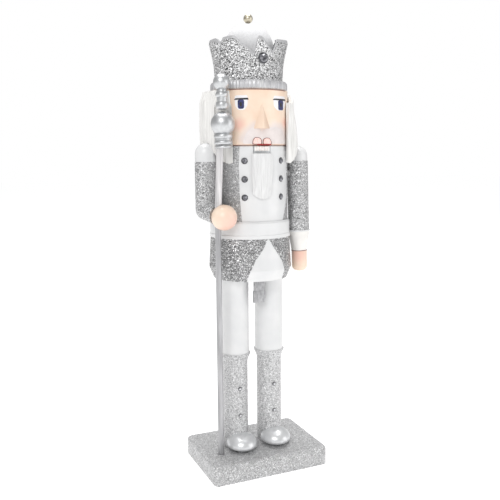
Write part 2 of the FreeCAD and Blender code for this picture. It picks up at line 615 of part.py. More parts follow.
coat_gems = []
for row in range(3):
    for sign in (-1, 1):
        height = size["coat_gem_low"] + row * size["coat_gem_step"]
        coat_gems.append(gem("coat_gem_%d_%d" % (row, sign + 1), "coat_gem_radius",
                             on_round(size["torso_radius"], sign * size["coat_gem_angle"], height)))
group("coat_gems", coat_gems)
boot_gems = []
for side, x in leg_x.items():
    for row in range(2):
        height = size["boot_gem_low"] + row * size["boot_gem_step"]
        boot_gems.append(gem("boot_gem_%s_%d" % (side, row), "boot_gem_radius",
                             on_round(size["boot_radius"], 0, height, x, leg_y)))
group("boot_gems", boot_gems)
keep(crown_gem, "crown_gem")

# ---------------------------------------------------------------- check and write
doc.recompute()
for obj in doc.Objects:
    bad = [state for state in obj.State if state in ("Invalid", "Error")]
    if bad:
        raise RuntimeError("%s (%s) is %s" % (obj.Name, obj.Label, bad))
for node in nodes:
    shape = node.Shape
    if shape.isNull() or not shape.isValid():
        raise RuntimeError("%s has no valid shape" % node.Label)
    shape.exportStep("parts/%s.step" % node.Label)
    extent = shape.BoundBox
    print("%-16s solids %d volume %9.1f  x %6.1f..%6.1f  y %6.1f..%6.1f  z %6.1f..%6.1f" % (
        node.Label, len(shape.Solids), shape.Volume, extent.XMin, extent.XMax,
        extent.YMin, extent.YMax, extent.ZMin, extent.ZMax))
print(len(nodes), "nodes")
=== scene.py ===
# %% [markdown]
# A nutcracker king, 380 mm tall: a turned wooden figure in a silver glitter coat on a block base.
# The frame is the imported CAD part. Its dowels, pins, dome, belt, hands and white wood stay as they
# are and only get a finish. Glitter, fur, face paint and polished beads are modelled here, because
# their look lies in small shapes that a CAD solid leaves out.

import math
import random

import bmesh
import bpy
from mathutils import Matrix, Vector


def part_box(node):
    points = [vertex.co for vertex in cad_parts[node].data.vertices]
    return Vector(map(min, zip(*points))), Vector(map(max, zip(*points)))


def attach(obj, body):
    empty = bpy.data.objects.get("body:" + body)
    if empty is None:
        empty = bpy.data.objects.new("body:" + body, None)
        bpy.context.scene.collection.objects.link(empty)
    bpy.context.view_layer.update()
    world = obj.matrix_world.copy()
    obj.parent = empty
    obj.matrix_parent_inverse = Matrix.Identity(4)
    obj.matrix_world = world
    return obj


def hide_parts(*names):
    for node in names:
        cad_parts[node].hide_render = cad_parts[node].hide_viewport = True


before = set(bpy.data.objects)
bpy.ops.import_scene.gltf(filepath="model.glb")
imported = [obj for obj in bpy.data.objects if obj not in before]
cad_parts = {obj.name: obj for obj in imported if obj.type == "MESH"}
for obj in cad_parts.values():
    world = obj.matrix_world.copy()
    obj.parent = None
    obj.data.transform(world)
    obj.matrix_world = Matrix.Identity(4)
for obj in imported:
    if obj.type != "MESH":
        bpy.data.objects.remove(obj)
scene = bpy.context.scene
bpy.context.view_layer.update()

# %% [markdown]
# A wood turner works in millimetres, so every piece below is shaped in millimetres, and one helper
# scales it to Blender's metres at the end. A place that a CAD node already has is read from its box.

# %% Work in millimetres
MM = 0.001
FACE_TURN = -4.5  # degrees that the head and jaw are turned from straight ahead
turned_face = Matrix.Rotation(math.radians(FACE_TURN), 4, "Z")


def span(node):
    """A CAD node's lowest and highest corners, in millimetres."""
    low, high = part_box(node)
    return low / MM, high / MM


def middle(node):
    """The centre of a CAD node's box, in millimetres."""
    low, high = span(node)
    return (low + high) / 2


def on_round(radius, degrees, height, centre=(0, 0)):
    """A point on an upright round; 0 degrees faces the front and positive turns to the left hand."""
    angle = math.radians(degrees)
    return Vector((centre[0] + radius * math.sin(angle), centre[1] - radius * math.cos(angle), height))


torso_radius = span("torso")[1].x
head_radius = span("head")[1].x
head_foot = span("head")[0].z
print("torso and head radius in mm:", round(torso_radius, 1), round(head_radius, 1))

# %% [markdown]
# Every new piece ends the same way: its normals are turned outwards, it is scaled to metres, it
# rides on a body of the frame, and the CAD nodes it stands in for are hidden. Doing this in one helper
# keeps the later cells about shape only.

# %% Finish a piece
SHARP = 35  # degrees between two faces above which an edge stays crisp


def finish_piece(name, bm, material, body="figure", replaces=(), smooth=True, extra=()):
    """Turn a bmesh in millimetres into a named piece of the object."""
    bmesh.ops.recalc_face_normals(bm, faces=bm.faces)
    bmesh.ops.scale(bm, vec=(MM, MM, MM), verts=bm.verts)
    mesh = bpy.data.meshes.new(name)
    bm.to_mesh(mesh)
    bm.free()
    for each in (material, *extra):
        mesh.materials.append(each)
    if smooth:
        mesh.shade_smooth()
        mesh.set_sharp_from_angle(angle=math.radians(SHARP))
    else:
        mesh.shade_flat()
    piece = bpy.data.objects.new(name, mesh)
    scene.collection.objects.link(piece)
    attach(piece, body)
    if replaces:
        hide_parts(*replaces)
    print(name, len(mesh.polygons), "faces")
    return piece


# %% [markdown]
# Turned wood is a profile spun round an axis. The spin operator does what the lathe does, and
# merging the doubled points closes the poles. A transform then leans the turning along its axis.

# %% The lathe
ROUND_STEPS = 72


def along(foot, top):
    """The matrix that stands a turning on `foot` and points its own Z at `top`."""
    direction = Vector(top) - Vector(foot)
    return Matrix.Translation(foot) @ direction.to_track_quat("Z", "Y").to_matrix().to_4x4()


def stepped(profile, step):
    """The same profile with points no further apart than `step`."""
    points = [Vector(profile[0])]
    for start, end in zip(profile, profile[1:]):
        start, end = Vector(start), Vector(end)
        parts = max(1, round((end - start).length / step))
        points += [start.lerp(end, part / parts) for part in range(1, parts + 1)]
    return points


def lathe(profile, steps=ROUND_STEPS, place=Matrix.Identity(4), bm=None):
    """Spin a profile of (radius, height) pairs round Z into a closed turning."""
    whole = bm or bmesh.new()
    turning = bmesh.new()
    line = [turning.verts.new((radius, 0, height)) for radius, height in profile]
    edges = [turning.edges.new(pair) for pair in zip(line, line[1:])]
    bmesh.ops.spin(turning, geom=line + edges, cent=(0, 0, 0), axis=(0, 0, 1), angle=math.tau,
                   steps=steps, use_merge=True)
    bmesh.ops.remove_doubles(turning, verts=turning.verts, dist=1e-4)
    bmesh.ops.recalc_face_normals(turning, faces=turning.faces)
    bmesh.ops.transform(turning, matrix=place, verts=turning.verts)
    return pour(turning, whole)


def pour(source, target):
    """Add one bmesh to another through a throwaway mesh, and free the first."""
    carrier = bpy.data.meshes.new("carrier")
    source.to_mesh(carrier)
    source.free()
    target.from_mesh(carrier)
    bpy.data.meshes.remove(carrier)
    return target


# %% [markdown]
# Three moves come back in many pieces: a flat grid bent into a curved sheet, a cut along a plane and
# a rounded edge. Bevel is told its profile and material each time, because the operator's defaults
# differ from those of the editor's tool.

# %% Bend, cut and round
def bent_grid(columns, rows, place_at):
    """A grid whose points are each placed by their shares across and up, from 0 to 1."""
    bm = bmesh.new()
    bmesh.ops.create_grid(bm, x_segments=columns, y_segments=rows, size=0.5)
    for vert in bm.verts:
        vert.co = place_at(vert.co.x + 0.5, vert.co.y + 0.5)
    return bm


def slice_at(bm, place, normal):
    """Cut new edges into a bmesh along a plane."""
    bmesh.ops.bisect_plane(bm, geom=bm.verts[:] + bm.edges[:] + bm.faces[:], dist=1e-4,
                           plane_co=place, plane_no=normal)


def round_over(bm, geom, offset, segments, affect="EDGES", clamp=False):
    """Round edges, or the corners of a flat shape."""
    bmesh.ops.bevel(bm, geom=geom, offset=offset, offset_type="OFFSET", segments=segments, profile=0.5,
                    affect=affect, material=-1, clamp_overlap=clamp)


# %% [markdown]
# A material is a small tree of nodes. One helper adds a node and fills its inputs by name, and another
# does a step of vector maths, so that each recipe below stays a few lines long.

# %% Shader nodes
def fill(tree, node, **inputs):
    """Fill inputs by name, with _ for a space: a socket is linked and a plain value is set."""
    for name, value in inputs.items():
        socket = node.inputs[name.replace("_", " ")]
        if isinstance(value, bpy.types.NodeSocket):
            tree.links.new(value, socket)
        else:
            socket.default_value = value


def add_node(tree, kind, settings=(), **inputs):
    """A new shader node with its settings and inputs."""
    node = tree.nodes.new("ShaderNode" + kind)
    for name, value in dict(settings).items():
        setattr(node, name, value)
    fill(tree, node, **inputs)
    return node


def vector_step(tree, operation, first, second=None):
    """The result of one step of vector maths; `second` is a socket or a plain vector."""
    step = add_node(tree, "VectorMath", {"operation": operation})
    tree.links.new(first, step.inputs[0])
    if isinstance(second, bpy.types.NodeSocket):
        tree.links.new(second, step.inputs[1])
    elif second is not None:
        step.inputs[1].default_value = second
    return step.outputs["Value" if operation == "DISTANCE" else "Vector"]


def new_material(name):
    """An empty node material with its shader, ready to link."""
    material = bpy.data.materials.new(name)
    material.use_nodes = True
    tree = material.node_tree
    return material, tree, tree.nodes["Principled BSDF"]


# %% [markdown]
# Paint and lacquer are never one flat colour: a hand-sprayed coat is a little thicker and thinner,
# and the wood under it ripples. The helper mixes two close shades through a noise texture read from
# Object coordinates, and gives the same noise a small bump. Gloss values sit on the shader itself.

# %% Paints
def object_noise(tree, scale, detail=3.0, stretch=(1, 1, 1)):
    """A noise texture on Object coordinates; `scale` counts its blots per metre."""
    place = add_node(tree, "TexCoord")
    mapping = add_node(tree, "Mapping", Vector=place.outputs["Object"], Scale=stretch)
    return add_node(tree, "TexNoise", Vector=mapping.outputs["Vector"], Scale=scale, Detail=detail)


def shades(tree, factor, stops):
    """A colour ramp fed by `factor`, from (position, colour) pairs."""
    ramp = add_node(tree, "ValToRGB", Fac=factor)
    elements = ramp.color_ramp.elements
    while len(elements) < len(stops):
        elements.new(0.5)
    for element, (position, colour) in zip(elements, stops):
        element.position = position
        element.color = (*colour, 1)
    return ramp


def bump(tree, shader, height, distance):
    """Let a height texture tilt the light on the surface by `distance` metres."""
    relief = add_node(tree, "Bump", Strength=1.0, Distance=distance, Height=height)
    fill(tree, shader, Normal=relief.outputs["Normal"])


def paint(name, dark, light, roughness=0.3, metallic=0.0, coat=0.0, scale=120, stretch=(1, 1, 1),
          relief=0.00004):
    """A coat of paint or metal that wanders between two close shades."""
    material, tree, shader = new_material(name)
    blots = object_noise(tree, scale, stretch=stretch).outputs["Fac"]
    ramp = shades(tree, blots, [(0.3, dark), (0.7, light)])
    fill(tree, shader, Base_Color=ramp.outputs["Color"], Roughness=roughness, Metallic=metallic,
         Coat_Weight=coat, Coat_Roughness=0.12)
    bump(tree, shader, blots, relief)
    return material


white_lacquer = paint("white_lacquer", (0.7, 0.705, 0.71), (0.775, 0.775, 0.775), 0.34, coat=0.35,
                      scale=60)
cream_lacquer = paint("cream_lacquer", (0.82, 0.8, 0.77), (0.9, 0.88, 0.85), 0.4, coat=0.2)
hat_felt = paint("hat_felt", (0.65, 0.65, 0.66), (0.75, 0.75, 0.76), 0.75, scale=900, relief=0.0002)
satin_silver = paint("satin_silver", (0.54, 0.55, 0.56), (0.66, 0.67, 0.68), 0.4, metallic=0.9,
                     scale=300, relief=0.00002)
shoe_silver = paint("shoe_silver", (0.72, 0.73, 0.74), (0.84, 0.85, 0.86), 0.34, metallic=0.55,
                    scale=200, relief=0.00003)
# Painted reflection: the pale and dark upright streaks in the shaft's silver stand in for reflections
# running along a round silver rod.
shaft_silver_painted_streaks = paint("shaft_silver_painted_streaks", (0.44, 0.43, 0.44), (0.88, 0.86, 0.86), 0.34, metallic=0.45,
                     scale=700, stretch=(1, 1, 0.04))
rod_silver = paint("rod_silver", (0.34, 0.34, 0.35), (0.52, 0.52, 0.53), 0.38, metallic=0.7,
                   scale=300, stretch=(1, 1, 0.1))
gold_paint = paint("gold_paint", (0.52, 0.47, 0.36), (0.7, 0.65, 0.52), 0.34, metallic=0.9, scale=500)
steel = paint("steel", (0.45, 0.45, 0.46), (0.6, 0.6, 0.61), 0.3, metallic=1.0, scale=700)
bare_wood = paint("bare_wood", (0.55, 0.36, 0.2), (0.72, 0.53, 0.33), 0.65, scale=90,
                  stretch=(4, 4, 0.6), relief=0.0001)
lid_black = paint("lid_black", (0.012, 0.011, 0.014), (0.035, 0.03, 0.03), 0.35, coat=0.3)
iris_blue = paint("iris_blue", (0.014, 0.016, 0.07), (0.05, 0.055, 0.19), 0.3, coat=0.3, scale=500)
eye_white = paint("eye_white", (0.86, 0.84, 0.87), (0.94, 0.93, 0.95), 0.25, coat=0.5, scale=300)
lip_pink = paint("lip_pink", (0.86, 0.55, 0.49), (0.96, 0.76, 0.71), 0.35, coat=0.3, scale=700)
mouth_red = paint("mouth_red", (0.25, 0.01, 0.01), (0.42, 0.03, 0.02), 0.35, coat=0.3, scale=500)
line_brown = paint("line_brown", (0.15, 0.05, 0.04), (0.26, 0.11, 0.09), 0.4, scale=500)
tooth_white = paint("tooth_white", (0.85, 0.83, 0.8), (0.95, 0.93, 0.9), 0.22, coat=0.5, scale=500)
moustache_white = paint("moustache_white", (0.7, 0.63, 0.61), (0.82, 0.75, 0.73), 0.5, scale=130,
                        relief=0.00005)
print(len(bpy.data.materials), "materials so far")

# %% [markdown]
# Skin on a wooden figure is peach lacquer. The cheeks carry a soft blush that fades out with no
# edge, which is easiest as a distance from a point in Object coordinates: near the point pink, far
# from it plain skin. A painted patch would have an edge. The moustache is sprayed the same way first,
# in pale dabs, and its painted middle comes later. The darker spray on the nose is painted shade.

# %% Skin with a blush
SKIN_DARK = (0.86, 0.65, 0.5)
SKIN_LIGHT = (0.93, 0.76, 0.62)
BLUSH = (0.86, 0.52, 0.43)
SPRAY = (0.77, 0.69, 0.67)
# painted shade colour for the nose's right side
NOSE_PAINTED_SHADE = (0.64, 0.44, 0.32)
SPRAY_CORE = 0.1  # share of a spray's reach that is fully covered
SPRAY_COVER = 0.8  # how much of the skin's colour a spray hides at its core


def skin(name, spots):
    """Peach lacquer, with soft sprays given as (place, reach in millimetres, colour)."""
    material, tree, shader = new_material(name)
    blots = object_noise(tree, 70).outputs["Fac"]
    colour = shades(tree, blots, [(0.3, SKIN_DARK), (0.7, SKIN_LIGHT)]).outputs["Color"]
    place = add_node(tree, "TexCoord").outputs["Object"]
    for spot, reach, tint in spots:
        away = vector_step(tree, "DISTANCE", place, spot * MM)
        fade = add_node(tree, "MapRange", {"interpolation_type": "SMOOTHSTEP"}, Value=away,
                        From_Min=reach * MM, From_Max=reach * MM * SPRAY_CORE, To_Max=SPRAY_COVER)
        mix = add_node(tree, "Mix", {"data_type": "RGBA"}, Factor=fade.outputs["Result"], A=colour,
                       B=(*tint, 1))
        colour = mix.outputs["Result"]
    fill(tree, shader, Base_Color=colour, Roughness=0.36, Coat_Weight=0.35, Coat_Roughness=0.15)
    bump(tree, shader, blots, 0.00005)
    return material


cheeks = [(on_round(head_radius, -38, 290), 8, BLUSH), (on_round(head_radius, 41, 291), 8, BLUSH)]
dabs = [(on_round(head_radius, turn, height), 7.5, SPRAY)
        for turn, height in ((-31, 279), (-24, 284), (-16, 288), (-6, 286), (7, 285), (17, 288), (29, 287),
                             (38, 284), (44, 278), (-14, 279), (8, 279))]
# Painted shade: darker peach sprays on the nose's right side, where the wedge turns away from the light.
nose_painted_shades = [(on_round(head_radius + 2, 10, height), 10, NOSE_PAINTED_SHADE) for height in (290, 297, 304)]
face_skin = skin("face_skin", cheeks + dabs)
nose_skin_painted_shade = skin("nose_skin_painted_shade", nose_painted_shades)
hand_skin = skin("hand_skin", [(middle("hand_left") + Vector((-4, -5, 6)), 12, BLUSH),
                               (middle("hand_right") + Vector((3, -8, -6)), 17, BLUSH)])
print("blushed cheeks:", len(cheeks), "moustache dabs:", len(dabs))

# %% [markdown]
# Glitter is thousands of foil flakes that lie at all angles. Two things make it: each small mesh
# face is tilted at random, and inside the material a Voronoi texture gives every cell its own grey
# and its own tilt. The tilt is added to the surface normal, so highlights jump from flake to flake.

# %% Glitter
FLAKE_CELL = 0.6  # millimetres across one foil flake


def flakes(name, greys, tilt=0.8, metallic=0.6):
    """Foil flakes with greys as (position, grey) steps; `tilt` is how far they lean."""
    material, tree, shader = new_material(name)
    place = add_node(tree, "TexCoord")
    cells = add_node(tree, "TexVoronoi", Vector=place.outputs["Object"], Scale=1 / (FLAKE_CELL * MM))
    parts = add_node(tree, "SeparateColor", Color=cells.outputs["Color"])
    ramp = shades(tree, parts.outputs["Red"], [(at, (grey, grey, grey * 1.01)) for at, grey in greys])
    ramp.color_ramp.interpolation = "CONSTANT"
    centred = vector_step(tree, "SUBTRACT", cells.outputs["Color"], (0.5, 0.5, 0.5))
    lean = vector_step(tree, "MULTIPLY", centred, (tilt, tilt, tilt))
    surface = add_node(tree, "NewGeometry")
    leaned = vector_step(tree, "ADD", surface.outputs["Normal"], lean)
    fill(tree, shader, Base_Color=ramp.outputs["Color"], Roughness=0.38, Metallic=metallic,
         Normal=vector_step(tree, "NORMALIZE", leaned))
    return material


coat_glitter = flakes("coat_glitter", [(0.0, 0.3), (0.2, 0.36), (0.5, 0.42), (0.8, 0.5), (0.94, 0.75)],
                      tilt=0.6, metallic=0.35)
skirt_glitter = flakes("skirt_glitter", [(0.0, 0.12), (0.2, 0.24), (0.5, 0.37), (0.76, 0.55), (0.91, 1.0)])
sleeve_glitter = flakes("sleeve_glitter",
                        [(0.0, 0.2), (0.2, 0.36), (0.5, 0.52), (0.8, 0.7), (0.93, 1.0)], metallic=0.35)
crown_glitter = flakes("crown_glitter", [(0.0, 0.07), (0.24, 0.3), (0.45, 0.55), (0.68, 0.85), (0.86, 1.0)])
rim_silver = paint("rim_silver", (0.44, 0.44, 0.45), (0.56, 0.56, 0.57), 0.5, metallic=0.3, scale=900)
boot_glitter = flakes("boot_glitter", [(0.0, 0.34), (0.2, 0.5), (0.5, 0.64), (0.8, 0.76), (0.95, 1.0)],
                      tilt=0.7, metallic=0.25)
base_glitter = flakes("base_glitter", [(0.0, 0.28), (0.2, 0.42), (0.5, 0.54), (0.8, 0.66), (0.95, 0.98)],
                      tilt=0.6, metallic=0.2)
print(len(bpy.data.materials), "materials so far")

# %% [markdown]
# The mesh under the glitter is as fine as the flakes, and a random push on every point tilts each
# face. A seed per piece makes the same flakes fall in the same places every time.

# %% Glitter surfaces
FLAKE = 0.9  # millimetres between the points of a glitter surface
RELIEF = 0.11  # how far a flake stands in or out of the coat
COAT = 0.3  # thickness of glue and glitter over the wood


def sprinkle(bm, seed):
    """Move each point in or out by a random amount, so that each small face tilts like a flake."""
    chance = random.Random(seed)
    bm.normal_update()
    for vert in bm.verts:
        vert.co += vert.normal * chance.uniform(-RELIEF, RELIEF)


def glitter_turning(name, profile, seed, place, replaces=(), widest=10, material=sleeve_glitter):
    """A turning whose whole skin is glitter; `widest` is about its radius."""
    steps = round(math.tau * widest / FLAKE)
    bm = lathe(stepped(profile, FLAKE), steps=steps, place=place)
    sprinkle(bm, seed)
    return finish_piece(name, bm, material, replaces=replaces, smooth=False)


# %% [markdown]
# The coat is glued over white paint and leaves a window: the vest on the chest and a panel on the
# skirt. So the CAD wood keeps its white lacquer, and the coat is a thin curved sheet whose two front
# edges follow the window. A flat grid is bent round the body, sprinkled, and given its thickness
# with the solidify operator, which closes it.

# %% Coat sheets
def curve_through(points):
    """A function that runs straight between (height, value) pairs."""
    def value(height):
        for (low, first), (high, second) in zip(points, points[1:]):
            if height <= high:
                share = (height - low) / (high - low)
                return first + (second - first) * max(0.0, share)
        return points[-1][1]
    return value


def coat_sheet(name, low, high, radius_at, start_at, end_at, seed, holes=(), material=coat_glitter):
    """A glitter sheet between two heights, whose edges start and end at angles that vary with height."""
    def place_at(across, up):
        height = low + (high - low) * up
        start, end = start_at(height), end_at(height)
        return on_round(radius_at(height) + COAT, start + (end - start) * across, height)
    arc_length = math.radians(end_at(low) - start_at(low)) * radius_at(low)
    bm = bent_grid(round(arc_length / FLAKE), round((high - low) / FLAKE), place_at)
    for hole in holes:
        hole(bm)
    bmesh.ops.recalc_face_normals(bm, faces=bm.faces)
    sprinkle(bm, seed)
    bmesh.ops.solidify(bm, geom=bm.faces[:], thickness=2 * COAT)
    return finish_piece(name, bm, material, smooth=False)


slot_half = 7.5
slot_floor = 236


def open_back_slot(bm):
    """Clear the slot that the jaw lever moves in, at the back of the coat."""
    sideways, upwards = turned_face @ Vector((1, 0, 0)), Vector((0, 0, 1))
    for place, normal in ((sideways * slot_half, sideways), (-sideways * slot_half, sideways),
                          (upwards * slot_floor, upwards)):
        slice_at(bm, place, normal)
    doomed = [face for face in bm.faces
              if abs(face.calc_center_median().dot(sideways)) < slot_half
              and face.calc_center_median().z > slot_floor and face.calc_center_median().y > 0]
    bmesh.ops.delete(bm, geom=doomed, context="FACES")


belt_top = span("belt")[1].z
belt_foot = span("belt")[0].z
vest_left = curve_through([(belt_top, 36), (235, 56), (258, 53), (head_foot, 46)])
vest_right = curve_through([(belt_top, 325), (235, 322), (258, 321), (head_foot, 322.5)])
coat_sheet("coat_back", belt_top - 0.5, head_foot - 0.3, lambda height: torso_radius,
           vest_left, vest_right, seed=3, holes=[open_back_slot])

skirt_foot = span("coat_skirt")[0].z
skirt_radius = curve_through([(skirt_foot, 31), (skirt_foot + 9, 34.6), (belt_foot, 33)])
panel_left = curve_through([(skirt_foot, 35), (171, 33.5), (180, 27), (190, 14), (belt_foot, 4)])
panel_right = curve_through([(skirt_foot, 331), (172, 336), (182, 344), (191, 355), (belt_foot, 362)])
coat_sheet("coat_skirt_glitter", skirt_foot, belt_foot, skirt_radius, panel_left, panel_right, seed=5,
           material=skirt_glitter)

# %% [markdown]
# The boots are the same glitter round a leg. A closed turning that sits just outside the CAD wood
# does it, and the white thigh simply sticks out of the flared top.

# %% Boots
boot_foot = span("base_block")[1].z + 0.4  # just clear of the base
boot_out = 10.4 + COAT
boot_flare = 12.8 + COAT  # radius of the cuff at the top of the boot
boot_inside, boot_top = 8, 99.7
for number, side in enumerate(("right", "left")):
    leg = middle("leg_" + side)
    glitter_turning("boot_" + side, [
        (boot_inside, boot_foot), (boot_out, boot_foot), (boot_out, 92.5), (boot_flare, 98.3),
        (boot_flare, boot_top - 0.5), (11.5, boot_top), (boot_inside, boot_top), (boot_inside, boot_foot)],
        seed=11 + number, place=Matrix.Translation((leg.x, leg.y, 0)), widest=12, material=boot_glitter)

# %% [markdown]
# Sleeves are glitter turnings too. They stop below the shoulder, so that the round white cap shows.
# The right arm bends at a ball-shaped elbow, and its forearm points at the fist. The left arm hangs
# straight, and its white cuff has a raised rim and a thin brown line at the wrist.

# %% Sleeves and cuff
cap_edge = 261  # height of the line between the white cap and the glitter
cap_inside = 6
sleeve_out, forearm_out = 8.6 + COAT, 8.3 + COAT
forearm_length = 14
elbow = Vector((-41.2, -7, 223))
fist = middle("hand_right")
quarter = [math.radians(90) * part / 12 for part in range(13)]
elbow_ball = [(sleeve_out * math.cos(turn), -sleeve_out * math.sin(turn)) for turn in quarter]
glitter_turning("sleeve_right", [(cap_inside, cap_edge - elbow.z), (sleeve_out, cap_edge - elbow.z),
                                 *elbow_ball, (0, -sleeve_out + 0.01)],
                seed=21, place=Matrix.Translation(elbow))
glitter_turning("forearm_glitter", [(0, 0), (forearm_out, 0), (forearm_out, forearm_length),
                                    (0, forearm_length)],
                seed=22, place=along(elbow, fist), replaces=["forearm_right"])
left_end = Vector((43.7, -7.6, 166.3))
left_arm = along(left_end, Vector((41.2, -7, 273.5)))
sleeve_low, sleeve_high = 35.4, cap_edge - left_end.z  # along the left arm, from its lower end
glitter_turning("sleeve_left", [(0, sleeve_low), (sleeve_out, sleeve_low), (sleeve_out, sleeve_high),
                                (cap_inside, sleeve_high), (0, sleeve_high)], seed=23, place=left_arm)


def left_ring(name, inside, profile, material):
    """A ring round the left arm, closed by a wall inside the wood."""
    ring = [(inside, profile[0][1]), *profile, (inside, profile[-1][1]), (inside, profile[0][1])]
    finish_piece(name, lathe(ring, place=left_arm), material)


left_ring("cuff_rim", cap_inside, [(9.5, sleeve_low - 0.6), (9.7, sleeve_low), (9.5, sleeve_low + 0.6)],
          white_lacquer)
wrist = span("cuff_left")[0].z - left_end.z
left_ring("cuff_line", 5, [(6.95, wrist - 0.2), (6.95, wrist + 0.3)], line_brown)

# %% [markdown]
# The base is a block of wood with glitter all over. A copy of the CAD block keeps its size; the
# Remesh modifier redraws its skin as even small squares, and the sprinkling then tilts them.

# %% Glitter base
def merged_copy(node):
    """The CAD node's mesh as a bmesh in millimetres, its loose triangles joined."""
    bm = bmesh.new()
    bm.from_mesh(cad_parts[node].data)
    bmesh.ops.scale(bm, vec=(1 / MM, 1 / MM, 1 / MM), verts=bm.verts)
    bmesh.ops.remove_doubles(bm, verts=bm.verts, dist=0.005)
    return bm


def redrawn(bm, voxel):
    """The same solid with an even skin of small squares, by the Remesh modifier."""
    mesh = bpy.data.meshes.new("rough")
    bm.to_mesh(mesh)
    bm.free()
    rough = bpy.data.objects.new("rough", mesh)
    scene.collection.objects.link(rough)
    remesh = rough.modifiers.new("even_skin", "REMESH")
    remesh.mode = "VOXEL"
    remesh.voxel_size = voxel
    graph = bpy.context.evaluated_depsgraph_get()
    even = bmesh.new()
    even.from_mesh(rough.evaluated_get(graph).to_mesh())
    bpy.data.objects.remove(rough)
    return even


base = redrawn(merged_copy("base_block"), FLAKE)
sprinkle(base, 31)
bmesh.ops.translate(base, vec=(0, 0, RELIEF), verts=base.verts)
finish_piece("base_glitter", base, base_glitter, replaces=["base_block"], smooth=False)

# %% [markdown]
# The crown is a flaring wall with broad flat-topped points and small sharp teeth between them. Its rim
# is a function of the angle, so a flat grid is bent round and stretched up to that rim. The rim is
# drawn as a few corners of half the crown, and the other half repeats it. The outer edge is planed
# off below the rim, which shows as a pale band along every point.

# %% Crown
crown_foot = span("crown")[0].z
crown_rim = span("crown")[1].z
planed_band = 2.4  # height of the planed edge below the rim
plane_slope = 0.4
crown_wall = 3.0
half_rim = [(-113, 1.0), (-78, 1.0), (-68, 4.2), (-61, 1.2), (-45, 0.6), (-29, 7.2), (-15.5, 14.0),
            (-9, 1.2), (-5.5, 1.2), (17.5, 11.4), (22.5, 2.6), (67, 1.0)]  # degrees: mm cut


def rim_at(degrees):
    """The crown's height at an angle, run smoothly from corner to corner."""
    turn = (degrees + 113) % 180 - 113
    for (start, first), (end, second) in zip(half_rim, half_rim[1:]):
        if turn <= end:
            share = (turn - start) / (end - start)
            ease = 0.5 * share + 0.25 - 0.25 * math.cos(math.pi * share)
            return crown_rim - first - (second - first) * ease
    return crown_rim - half_rim[-1][1]


crown_radius = curve_through([(crown_foot, 27.8), (330, 27.95), (337, 28.4), (344, 29.5),
                              (352, 31.3), (crown_rim + 1, 33.3)])


def crown_place(across, up):
    """Where a point of the flat grid lands on the flaring wall and its planed edge."""
    degrees = 360 * across
    rim = rim_at(degrees)
    height = crown_foot + (rim - crown_foot) * up
    planed = max(0.0, planed_band - (rim - height)) * plane_slope
    return on_round(crown_radius(height) - planed, degrees, height)


crown = bent_grid(288, 44, crown_place)
bmesh.ops.remove_doubles(crown, verts=crown.verts, dist=0.01)
bmesh.ops.recalc_face_normals(crown, faces=crown.faces)
sprinkle(crown, 41)
for face in crown.faces:
    place = face.calc_center_median()
    rim = rim_at(math.degrees(math.atan2(place.x, -place.y)))
    face.material_index = 1 if rim - place.z < planed_band else 0
bmesh.ops.solidify(crown, geom=crown.faces[:], thickness=crown_wall)
finish_piece("crown_glitter", crown, crown_glitter, replaces=["crown"],
             smooth=False, extra=[rim_silver])

# %% [markdown]
# Between crown and head runs a gathered ribbon. Its folds are small flutes: a spun band whose
# points are pulled in and out in turn as the angle goes round.

# %% Gathered band
band_low, band_high = span("crown_band")[0].z, span("crown_band")[1].z
band_radius = span("crown_band")[1].x
pearl_ribbon = paint("pearl_ribbon", (0.44, 0.44, 0.46), (0.68, 0.68, 0.69), 0.38, metallic=0.35,
                     coat=0.2, scale=500, stretch=(1, 1, 0.15), relief=0.0001)
folds, fold_depth = 64, 0.22
band_inside = 24
ribbon = lathe([(band_inside, band_low + 0.1), (band_radius - 0.9, band_low), (band_radius, band_low + 1.0),
                (band_radius + 0.1, band_low + 3.5), (band_radius - 0.2, band_high - 1.2),
                (band_radius - 1.2, band_high), (band_inside, band_high), (band_inside, band_low + 0.1)],
               steps=6 * folds)
for vert in ribbon.verts:
    reach = vert.co.xy.length
    if reach > band_radius - 2:
        angle = math.atan2(vert.co.x, vert.co.y)
        fold = fold_depth * math.sin(angle * folds + 2.0 * math.sin(angle * 5)) - 0.1
        vert.co.xy *= 1 + fold / reach
finish_piece("crown_ribbon", ribbon, pearl_ribbon, replaces=["crown_band"])

# %% [markdown]
# Faux fur is glued on as hair and beard. A closed swelling sheet gives the soft mass, and combed
# locks lie half sunk in it. A lock is a small oval extruded down its path, turned and thinned at each
# step, which keeps it to a few dozen faces. Lengths and waves differ a little from lock to lock.

# %% Fur
def fur(name, deep, middling, bright):
    """White fur: fine upright streaks of three close shades, with a soft sheen."""
    material, tree, shader = new_material(name)
    streaks = object_noise(tree, 900, detail=2.0, stretch=(1, 1, 0.05)).outputs["Fac"]
    ramp = shades(tree, streaks, [(0.3, deep), (0.5, middling), (0.7, bright)])
    fill(tree, shader, Base_Color=ramp.outputs["Color"], Roughness=0.62, Sheen_Weight=0.25,
         Sheen_Roughness=0.4)
    bump(tree, shader, streaks, 0.00025)
    return material


white_fur = fur("white_fur", (0.66, 0.65, 0.63), (0.8, 0.79, 0.77), (0.9, 0.89, 0.87))
beard_fur = fur("beard_fur", (0.69, 0.69, 0.69), (0.73, 0.73, 0.73), (0.79, 0.79, 0.79))
LOCK_STEPS = 7


